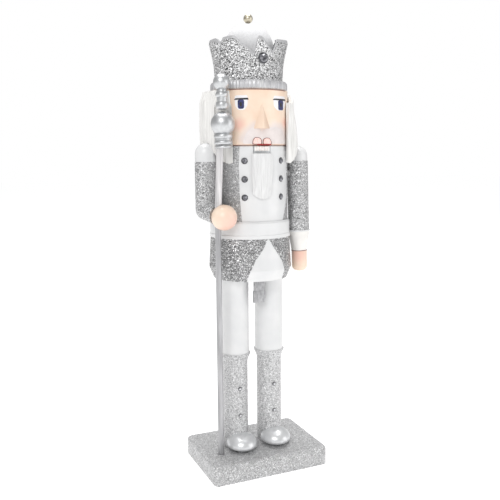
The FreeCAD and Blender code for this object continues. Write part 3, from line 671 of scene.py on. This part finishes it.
def lock(bm, path, width, depth, sides=5):
    """Extrude a small oval along a path of (degrees, radius, height), thinning to its tip."""
    def place(step):
        degrees, radius, height = path[step]
        share = step / (len(path) - 1)
        swell = max(0.06, math.sin(math.pi * (0.25 + 0.72 * share)))
        turn = Matrix.Rotation(math.radians(degrees), 4, "Z")
        size = Matrix.Diagonal((width * swell, depth * swell, 1, 1))
        return Matrix.Translation(on_round(radius, degrees, height)) @ turn @ size
    bmesh.ops.create_circle(bm, cap_ends=True, segments=sides, radius=1, matrix=place(0))
    bm.faces.ensure_lookup_table()
    face = bm.faces[-1]
    for step in range(1, len(path)):
        grown = bmesh.ops.extrude_face_region(bm, geom=[face])["geom"]
        verts = [item for item in grown if isinstance(item, bmesh.types.BMVert)]
        face = next(item for item in grown if isinstance(item, bmesh.types.BMFace))
        bmesh.ops.transform(bm, matrix=place(step) @ place(step - 1).inverted(), verts=verts)


def waved_path(chance, degrees, root, tip, radius_at, sway=1.2):
    """A path down the fur that follows its swelling and waves a little sideways."""
    phase = chance.uniform(0, math.tau)
    path = []
    for step in range(LOCK_STEPS + 1):
        share = step / LOCK_STEPS
        height = root + (tip - root) * share
        drift = sway * math.sin(phase + share * 3.5) * share
        turn = degrees + drift
        path.append((turn, radius_at(turn, height) + chance.uniform(-0.2, 0.2), height))
    return path


def from_nose(degrees):
    """How many degrees a point of the head is from the nose, on either side."""
    return abs((degrees - FACE_TURN + 180) % 360 - 180)


# %% [markdown]
# The hair is cut longer in front than over the shoulders, and it swells at the sides and back. Its
# outline is a few small functions of the angle round the head, which the sheet and the locks share.
# On its right it gives way to the staff, whose head stands close to the cheek.

# %% Outline of the hair
hair_low, hair_high = span("hair")[0].z, span("hair")[1].z
hair_open = 48.5  # degrees from the nose to the edge of the hair
hair_edge = 12.0  # degrees over which the fur thins out to its edge
hair_lift = 0.6  # how far the thin edge stands off the head
hair_thickness, hair_locks = 3.4, 150
front_end, shoulder_end, side_end = 71, 108, 155  # degrees from the nose where the cut changes
nape = 276  # height of the cut at the back
temple_turn, temple_reach, temple_drop = 48, 36, 9  # where the hair starts lower, and by how much
right_swell = curve_through([(hair_low, 35.2), (272, 37.0), (290, 37.8), (308, 37.2), (hair_high, 34.8)])
left_swell = curve_through([(hair_low, 36.2), (275, 36.8), (288, 35.6), (301, 33.4), (hair_high, 32.7)])
staff_top = Vector((-34.4, -26, 328.6))
staff_low = Vector((-33.1, -26, 275))
staff_room = 9.9  # the fur keeps this far from the staff's axis
left_shoulder = span("arm_left")[1].z
right_shoulder = span("arm_right")[1].z


def hair_tip(degrees):
    """How far down the hair reaches at an angle: pointed in front, and resting on the shoulders."""
    turn = from_nose(degrees)
    if turn < front_end:
        return hair_low + 0.7 * abs(turn - 50)
    if turn < shoulder_end:
        return (left_shoulder if degrees < 180 else right_shoulder) - 0.5
    return hair_low + 4 if turn < side_end else nape


def hair_root(degrees):
    """Where the hair starts: under the crown's band, but lower at the left temple."""
    return hair_high - temple_drop * max(0.0, 1 - abs(degrees - temple_turn) / temple_reach)


def hair_radius(degrees, height):
    """The fur's outside: swelling at the sides and back, thin where it meets the face."""
    share = min(1.0, max(0.0, (from_nose(degrees) - hair_open) / hair_edge))
    leftness = 0.5 + 0.5 * math.sin(math.radians(degrees))
    swell = right_swell(height) + (left_swell(height) - right_swell(height)) * leftness
    thin = head_radius + hair_lift
    return thin + (swell - thin) * math.sqrt(share)


print("hair from", round(hair_tip(50), 1), "to", round(hair_root(180), 1), "mm")

# %% [markdown]
# The hair itself: the sheet is bent to that outline and thickened, locks are laid along it, and fur
# that would stand in the staff's head is pressed back, as it would be on a real figure.

# %% Hair
def clear_of_staff(bm):
    """Press the fur back wherever it would stand in the staff's head."""
    for vert in bm.verts:
        share = (staff_top.z - vert.co.z) / (staff_top.z - staff_low.z)
        axis = staff_top.lerp(staff_low, share)
        away = Vector((vert.co.x - axis.x, vert.co.y - axis.y, 0))
        if share > 0.45 and away.length < staff_room:
            vert.co += away.normalized() * (staff_room - away.length)


def hair_place(across, up):
    """Where a point of the flat grid lands on the hair; `up` runs from the root to the tip."""
    degrees = hair_open + FACE_TURN + (360 - 2 * hair_open) * across
    root = hair_root(degrees)
    height = root + (hair_tip(degrees) + 0.6 - root) * up
    return on_round(hair_radius(degrees, height) + 0.25 * math.sin(degrees * 1.3), degrees, height)


hair = bent_grid(132, 24, hair_place)
bmesh.ops.recalc_face_normals(hair, faces=hair.faces)
bmesh.ops.solidify(hair, geom=hair.faces[:], thickness=hair_thickness)
chance = random.Random(51)
for number in range(hair_locks):
    share = (number + chance.uniform(0.1, 0.9)) / hair_locks
    degrees = hair_open + 1 + FACE_TURN + (358 - 2 * hair_open) * share
    tip = hair_tip(degrees) + chance.uniform(-0.3, 2.2)
    path = waved_path(chance, degrees, hair_root(degrees) - chance.uniform(0, 0.6), tip, hair_radius)
    lock(hair, path, chance.uniform(1.5, 2.3), chance.uniform(0.55, 0.85), sides=6)
clear_of_staff(hair)
finish_piece("fur_hair", hair, white_fur, replaces=["hair"])

# %% [markdown]
# The beard is a narrow tuft of the same fur, tacked to the chin, so it rides on the beard's own body
# and moves with the jaw. It is full down its middle and thin at its edges and tip.

# %% Beard
beard_low, beard_high = span("beard")[0].z, span("beard")[1].z
beard_half = 14.4  # degrees of the head's round from the middle of the beard to its edge
beard_swell = curve_through([(beard_low, 33.1), (240, 34.2), (258, 34.8), (beard_high, 34.4)])
beard_back = 33.0  # radius of the thin edges, just clear of the chest
beard_thickness, beard_locks = 0.8, 22


def beard_radius(degrees, height):
    """The beard's outside: full down its middle, and close to the chest at its edges and tip."""
    across = min(1.0, abs(degrees - FACE_TURN) / beard_half)
    return beard_back + (beard_swell(height) - beard_back) * math.sqrt(1 - across * across)


def beard_place(share, up):
    """Where a point of the flat grid lands on the beard, whose lower end is round."""
    across = 2 * share - 1
    height = beard_high - 0.5 + (beard_low + 2 + 4 * across * across - beard_high) * (1 - up)
    turn = FACE_TURN + across * beard_half
    return on_round(beard_radius(turn, height), turn, height)


chance = random.Random(61)
beard = bent_grid(20, 26, beard_place)
bmesh.ops.recalc_face_normals(beard, faces=beard.faces)
bmesh.ops.solidify(beard, geom=beard.faces[:], thickness=beard_thickness)
for number in range(beard_locks):
    across = (number + 0.5) / beard_locks * 2 - 1
    tip = beard_low + 0.5 + 5 * across * across + chance.uniform(-0.3, 1.6)
    path = waved_path(chance, FACE_TURN + across * beard_half, beard_high - 0.8, tip, beard_radius, 0.5)
    lock(beard, path, 0.9, 0.25)
finish_piece("fur_beard", beard, beard_fur, body="beard", replaces=["beard"])

# %% [markdown]
# The face is painted, and paint has edges that light catches. Each painted shape is a flat outline,
# cut into strips, given a hair's thickness and bent round the head. Corners of an outline are
# rounded with the bevel operator on its points.

# %% Painted shapes
STRIP = 1.5
BURY = 0.25  # how deep a painted shape reaches into the head
REACH = math.radians(1) * head_radius  # millimetres round the head in one degree


def oval(centre, half):
    """A flat oval; the centre and half sizes are (degrees, millimetres of height)."""
    flat = bmesh.new()
    grow = Matrix.Diagonal((half[0] * REACH, 1, half[1], 1))
    move = Matrix.Translation((centre[0] * REACH, 0, centre[1]))
    upright = Matrix.Rotation(math.radians(90), 4, "X")
    bmesh.ops.create_circle(flat, cap_ends=True, segments=28, radius=1, matrix=move @ grow @ upright)
    return flat


def shape(points, rounding=0.0):
    """A flat shape from (degrees, height) corners, each rounded by the same amount."""
    flat = bmesh.new()
    flat.faces.new([flat.verts.new((degrees * REACH, 0, height)) for degrees, height in points])
    if rounding:
        round_over(flat, flat.verts[:], rounding, 4, affect="VERTICES")
    return flat


def painted(name, flats, lift, material):
    """Bend flat shapes round the head as paint that stands `lift` millimetres proud."""
    whole = bmesh.new()
    for flat in flats:
        left = min(vert.co.x for vert in flat.verts)
        right = max(vert.co.x for vert in flat.verts)
        for cut in range(1, math.ceil((right - left) / STRIP)):
            slice_at(flat, (left + cut * STRIP, 0, 0), (1, 0, 0))
        bmesh.ops.translate(flat, vec=(0, BURY, 0), verts=flat.verts)
        grown = bmesh.ops.extrude_face_region(flat, geom=flat.faces[:], use_keep_orig=True)["geom"]
        front = [item for item in grown if isinstance(item, bmesh.types.BMVert)]
        bmesh.ops.translate(flat, vec=(0, -lift - BURY, 0), verts=front)
        for vert in flat.verts:
            degrees = math.degrees(vert.co.x / head_radius)
            vert.co = on_round(head_radius - vert.co.y, degrees, vert.co.z)
        pour(flat, whole)
    return finish_piece(name, whole, material)


# %% [markdown]
# The eyes look out from under a straight black lash line, so each iris is cut off at the top. White
# lies above and below the lash, and the pupil is a small oval near the middle of the iris.

# %% Eyes
lash_height = 309.3
eyes = ((-34.2, 10.6), (27.8, 15.5))  # middle and half width of each eye, in degrees


def on_eyes(name, corners, rounding, lift, material):
    """One painted shape on both eyes, from (share of the eye's half width, height) corners."""
    painted(name, [shape([(at + half * share, height) for share, height in corners], rounding)
                   for at, half in eyes], lift, material)


on_eyes("eye_lids", [(-0.95, lash_height), (0.95, lash_height), (0.8, 312.6), (-0.8, 312.6)], 0.8, 0.12,
        eye_white)
on_eyes("eye_balls", [(-0.9, lash_height), (-0.82, 304.5), (-0.4, 301.3), (0.4, 301.3), (0.82, 304.5),
                      (0.9, lash_height)], 0.9, 0.12, eye_white)
painted("eye_irises", [shape([(at - half, lash_height), (at + half, lash_height), (at + half, foot),
                              (at - half * 0.9, foot)], 1.5)
                       for at, half, foot in ((-34.7, 4.7, 302.2), (29.4, 6.4, 301.6))], 0.22, iris_blue)
painted("eye_pupils", [oval((at, 305.7), (half, 1.7)) for at, half in ((-34.8, 1.76), (29.2, 2.4))], 0.3,
        lid_black)
on_eyes("lash_lines", [(-1, lash_height - 0.1), (1, lash_height - 0.1), (0.9, lash_height + 1.3),
                       (-0.8, lash_height + 1.1)], 0.4, 0.3, lid_black)

# %% [markdown]
# The moustache's painted middle goes over the sprayed dabs. Lips are two thick dabs of pink on a
# brown outline, and a fine red line marks the mouth. The thin brown lines along the chin's joint and
# under the crown's band are painted shadow, where the head meets the torso and the band.

# %% Moustache, mouth and lines
painted("moustache", [shape([(-5, 285.5), (-12, 288), (-21, 287.4), (-28, 283), (-33, 276),
                             (-30, 275), (-5, 275)], 1.4),
                      shape([(-5, 285.5), (6, 287.6), (18, 288.4), (32, 286.4), (41, 281), (44, 276),
                             (38, 275), (-5, 275)], 1.4)], 0.15, moustache_white)
lips = [[(-19, 274.5), (-18.6, 277.8), (-15.5, 280.2), (-9, 280.0), (-5.6, 278.6), (-5.0, 274.5)],
        [(-4.2, 274.5), (-3.6, 278.6), (0.5, 279.8), (6.5, 279.6), (9.8, 277.0), (10.2, 274.5)]]
painted("lip_outline", [shape(points, 1.0) for points in lips], 0.42, line_brown)


def shrunk(points, share):
    """The same outline drawn smaller about its middle."""
    centre = sum((Vector(point) for point in points), Vector((0, 0))) / len(points)
    return [centre + (Vector(point) - centre) * share for point in points]


painted("lips", [shape(shrunk(points, 0.83), 0.8) for points in lips], 0.55, lip_pink)
painted("mouth_line", [shape([(-12, 273.8), (9.5, 273.8), (9.5, 274.7), (-12, 274.7)], 0.3)], 0.6,
        mouth_red)
# Painted shadow: thin brown lines along the joint under the head and under the crown's band, where shade
# falls between the parts.
painted("chin_shadow_line", [shape([(-62, 273.72), (52, 273.72), (52, 274.1), (-62, 274.1)])], 0.12, line_brown)
painted("brow_shadow_line", [shape([(-52, 316.9), (44, 316.9), (44, 317.4), (-52, 317.4)])], 0.15, line_brown)

# %% [markdown]
# The nose is a wooden wedge glued on the head. Sharp wood never stays sharp under lacquer, so its
# edges are rounded with the bevel operator on a merged copy of the CAD wedge. The jaw lever gets the
# same treatment.

# %% Nose and jaw lever
def rounded_copy(name, node, width, material, body="figure", growth=(1, 1, 1)):
    """A CAD piece with its crisp edges rounded over, and grown about its middle if asked."""
    bm = merged_copy(node)
    bmesh.ops.scale(bm, vec=growth, verts=bm.verts, space=Matrix.Translation(-middle(node)))
    bmesh.ops.dissolve_limit(bm, angle_limit=math.radians(2), verts=bm.verts, edges=bm.edges)
    crisp = [edge for edge in bm.edges
             if len(edge.link_faces) == 2 and edge.calc_face_angle(0) > math.radians(30)]
    round_over(bm, crisp, width, 3, clamp=True)
    return finish_piece(name, bm, material, body=body, replaces=[node])


nose_growth = (1.45, 1.15, 1.06)
rounded_copy("nose_wedge", "nose", 0.7, nose_skin_painted_shade, growth=nose_growth)
rounded_copy("jaw_handle", "jaw_lever", 0.6, satin_silver, body="jaw")

# %% [markdown]
# The teeth sit on the front of the jaw lever: a row of small rounded blocks over a pink gum, so
# that opening the jaw shows a real row of teeth and not a drawing.

# %% Teeth
def block(bm, size, centre, rounding, turned=turned_face):
    """A rounded block added to a bmesh, turned with the face unless told otherwise."""
    piece = bmesh.new()
    bmesh.ops.create_cube(piece, size=1, matrix=Matrix.Translation(centre) @ Matrix.Diagonal((*size, 1)))
    round_over(piece, piece.edges[:], rounding, 2)
    bmesh.ops.transform(piece, matrix=turned, verts=piece.verts)
    return pour(piece, bm)


chin_front, teeth_middle = -31.0, 271.2
tooth_width, tooth_height, tooth_depth, tooth_gap = 1.9, 3.6, 0.9, 0.25
tooth_count = 6
teeth = bmesh.new()
for number in range(tooth_count):
    across = (number - (tooth_count - 1) / 2) * (tooth_width + tooth_gap)
    block(teeth, (tooth_width, tooth_depth, tooth_height), (across, chin_front - 0.15, teeth_middle), 0.3)
finish_piece("teeth", teeth, tooth_white, body="jaw")
gum = block(bmesh.new(), (12.4, 0.6, 3.4), (0, chin_front, teeth_middle), 0.25)
finish_piece("gum", gum, lip_pink, body="jaw")

# %% [markdown]
# The staff is turned and sprayed silver: a small knob, rings and a large ball. Each bead is a
# sphere or a cylinder whose rims are rounded by bevel; they overlap along one axis, as one turning.

# %% Staff
staff = bmesh.new()
down = (staff_low - staff_top).normalized()


def bead(radius, below, length=None):
    """A ball, or a rounded ring of that length, at a distance below the staff's tip."""
    piece = bmesh.new()
    if length is None:
        bmesh.ops.create_uvsphere(piece, u_segments=40, v_segments=24, radius=radius)
    else:
        bmesh.ops.create_cone(piece, cap_ends=True, segments=48, radius1=radius, radius2=radius,
                              depth=length)
        rims = [edge for edge in piece.edges if edge.calc_face_angle(0) > 1]
        round_over(piece, rims, min(length * 0.45, radius * 0.5), 5)
    bmesh.ops.transform(piece, matrix=along(staff_top + down * below, staff_top), verts=piece.verts)
    pour(piece, staff)


for radius, below, length in ((6.4, 6.4, None), (4.9, 15.8, 5), (4.0, 19, 16), (5.0, 24, 6.6),
                              (9.5, 38.2, None), (7.3, 47.6, 4.4), (6.3, 50, 8), (7.2, 52.4, 3.6),
                              (6.6, 55.8, 2.4)):
    bead(radius, below, length)
finish_piece("staff_turning", staff, satin_silver, replaces=["staff_head"])
grip = Vector((-37.9, -24, 217.4))
shaft_aim = Vector((-33.9, -26.5, 329))
shaft_radius, shaft_length = 2.8, 72
shaft = lathe([(0, 0), (shaft_radius, 0), (shaft_radius, shaft_length), (0, shaft_length)], steps=40,
              place=along(grip, shaft_aim))
finish_piece("staff_shaft", shaft, shaft_silver_painted_streaks)

# %% [markdown]
# Rhinestones are flat-backed and cut: a table on top, slanting facets round it. A cone with few
# sides and flat shading is exactly that cut, and a thin dark cup holds each stone.

# %% Rhinestones
# Painted reflection: the stone foils are dark with paler blots, and the boot stones' foil has near-white
# blots. They stand in for the dark surroundings and the glints that a mirror-backed cut stone shows.
stone_painted_reflection = paint("stone_painted_reflection", (0.02, 0.02, 0.03), (0.34, 0.34, 0.37), 0.1, metallic=0.5, coat=1.0,
                   scale=420, relief=0.0)
stone_painted_glints = paint("stone_painted_glints", (0.3, 0.3, 0.32), (0.95, 0.95, 0.97), 0.1, metallic=0.8, coat=1.0,
                    scale=700, relief=0.0)
cup_silver = paint("cup_silver", (0.1, 0.1, 0.11), (0.2, 0.2, 0.21), 0.35, metallic=0.9, scale=600)


def rhinestones(name, places, radius, node, foil=stone_painted_reflection):
    """Cut stones at (point, outward direction) places, and the cups that hold them."""
    stones, cups = bmesh.new(), bmesh.new()
    for point, out in places:
        stand = along(point, point + out)
        for foot, low, high, depth in ((0.1, 1.0, 0.95, 0.25), (0.35, 0.95, 0.5, 0.4)):
            piece = bmesh.new()
            bmesh.ops.create_cone(piece, cap_ends=True, segments=8, radius1=radius * low,
                                  radius2=radius * high, depth=radius * depth)
            raised = Matrix.Translation((0, 0, radius * (foot + depth / 2)))
            bmesh.ops.transform(piece, matrix=stand @ raised, verts=piece.verts)
            pour(piece, stones)
        cup = [(radius * across, radius * up)
               for across, up in ((1.18, 0.15), (1.05, 0.3), (0.9, 0.2), (0, 0.1))]
        lathe([(0, -0.4), (radius * 1.15, -0.4), *cup], steps=24, place=stand, bm=cups)
    finish_piece(name + "_stones", stones, foil, replaces=[node], smooth=False)
    finish_piece(name + "_cups", cups, cup_silver)


def outward(degrees):
    """The level direction that faces out at an angle."""
    return on_round(1, degrees, 0)


coat_turn, coat_row, coat_step = 30.5, 232.5, 14.6  # angle and lowest height of the rows, and their step
boot_row, boot_step = 45.6, 23.7
coat_places = [(on_round(torso_radius, turn, coat_row + row * coat_step), outward(turn))
               for row in range(3) for turn in (-coat_turn, coat_turn)]
rhinestones("coat_gem", coat_places, 2.2, "coat_gems")
boot_places = [(on_round(boot_out, 0, boot_row + row * boot_step, middle("leg_" + side).xy), outward(0))
               for row in range(2) for side in ("right", "left")]
rhinestones("boot_gem", boot_places, 1.5, "boot_gems", stone_painted_glints)
crown_gem_place = on_round(29.1, 0, 341.5)
rhinestones("crown_gem", [(crown_gem_place, outward(0))], 3.7, "crown_gem")

# %% [markdown]
# The strap under the coat is a woven braid with a folded end. Two rounded blocks make it, one twice
# as long as the other, and the material's bump is the weave.

# %% Strap
strap_low, strap_high = span("sash_tail")
strap_middle, strap_size = (strap_low + strap_high) / 2, strap_high - strap_low
unturned = Matrix.Identity(4)
strap = bmesh.new()
block(strap, (strap_size.x - 1.2, strap_size.y * 0.7, strap_size.z), strap_middle, 0.4, unturned)
block(strap, (strap_size.x, strap_size.y, strap_size.z * 0.5),
      strap_middle - Vector((0, 0, strap_size.z * 0.25)), 0.5, unturned)
braid = paint("silver_braid", (0.3, 0.3, 0.31), (0.5, 0.5, 0.51), 0.45, metallic=0.6, scale=900,
              stretch=(1, 1, 0.4), relief=0.0002)
finish_piece("strap", strap, braid, replaces=["sash_tail"])

# %% [markdown]
# The CAD nodes that still show keep their exact shape and are given their finish. Shoes are oval
# turnings cut off by the boots. The CAD shoes have that shape, so they only need silver paint.
# Assigning to a node's materials changes no vertex or face.

# %% Finishes on the CAD wood
finishes = {
    white_lacquer: ["leg_right", "leg_left", "coat_skirt", "belt", "torso", "arm_right", "arm_left"],
    sleeve_glitter: ["shoulder_dowels"],
    hat_felt: ["hat_dome"],
    cream_lacquer: ["cuff_left"],
    face_skin: ["head"],
    hand_skin: ["hand_right", "hand_left"],
    shoe_silver: ["shoe_right", "shoe_left"],
    rod_silver: ["staff_rod"],
    gold_paint: ["finial_bead"],
    steel: ["jaw_pivot_pin", "finial_nail"],
    bare_wood: ["foot_dowels", "hip_dowels", "waist_dowel", "neck_dowels", "crown_dowel"],
}
for material, names in finishes.items():
    for name in names:
        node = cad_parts[name]
        node.data.materials.clear()
        node.data.materials.append(material)
print(sum(len(names) for names in finishes.values()), "CAD nodes finished")

# %% [markdown]
# A plain pale studio: a white floor that is not part of the object, three large soft lights, and a
# pale world. The lights are large so that their reflections in silver are broad and soft. The floor
# glows a little, so that it stays white under a light that is right for the silver.

# %% Studio
WHITE = (1, 1, 1, 1)
floor_mesh = bpy.data.meshes.new("studio_floor")
ground = bmesh.new()
bmesh.ops.create_grid(ground, x_segments=1, y_segments=1, size=6)
ground.to_mesh(floor_mesh)
ground.free()
studio_floor = bpy.data.objects.new("studio_floor", floor_mesh)
scene.collection.objects.link(studio_floor)
floor_paint, floor_tree, floor_shader = new_material("floor_white")
fill(floor_tree, floor_shader, Base_Color=(0.45, 0.45, 0.45, 1), Roughness=0.9, Specular_IOR_Level=0.1,
     Emission_Color=WHITE, Emission_Strength=0.8)
floor_mesh.materials.append(floor_paint)

world = bpy.data.worlds.new("studio")
world.use_nodes = True
sky = world.node_tree
surround = sky.nodes["Background"]
fill(sky, surround, Color=WHITE, Strength=0.42)
backdrop = add_node(sky, "Background", Color=WHITE, Strength=1.0)
ray = add_node(sky, "LightPath")
choice = add_node(sky, "MixShader", Fac=ray.outputs["Is Camera Ray"])
sky.links.new(surround.outputs["Background"], choice.inputs[1])
sky.links.new(backdrop.outputs["Background"], choice.inputs[2])
fill(sky, sky.nodes["World Output"], Surface=choice.outputs["Shader"])
scene.world = world
scene.view_settings.view_transform = "Standard"


def soft_light(name, place, target, size, power):
    """A square area light aimed at a point, in metres and watts."""
    lamp = bpy.data.lights.new(name, "AREA")
    lamp.size = size
    lamp.energy = power
    light = bpy.data.objects.new(name, lamp)
    light.location = place
    light.rotation_euler = (Vector(target) - Vector(place)).to_track_quat("-Z", "Y").to_euler()
    scene.collection.objects.link(light)


chest = (0, 0, 0.2)
soft_light("key_light", (-0.9, -1.1, 1.1), chest, 0.9, 10.5)
soft_light("fill_light", (1.1, -0.9, 0.5), chest, 0.9, 3.4)
soft_light("top_light", (0.1, 0.3, 1.6), chest, 1.0, 21)
print("studio with", len(bpy.data.lights), "lights")

# %% [markdown]
# The camera stands in front of the figure's right hand, a little below the crown's height, and
# looks slightly down.

# %% Camera
camera_turn = math.radians(23.543)
camera_pitch = math.radians(8.044)
camera_roll = math.radians(0.481)
camera_distance = 0.5724
camera_height = 0.26685
camera = bpy.data.objects.new("camera", bpy.data.cameras.new("camera"))
scene.collection.objects.link(camera)
camera.data.sensor_width = 36
camera.data.lens = 48.76
camera.location = (-camera_distance * math.sin(camera_turn), -camera_distance * math.cos(camera_turn),
                   camera_height)
look = Matrix.Rotation(-camera_turn, 4, "Z") @ Matrix.Rotation(math.radians(90) - camera_pitch, 4, "X")
camera.rotation_euler = (look @ Matrix.Rotation(-camera_roll, 4, "Z")).to_euler()
scene.camera = camera
print("camera at", tuple(round(value, 3) for value in camera.location))
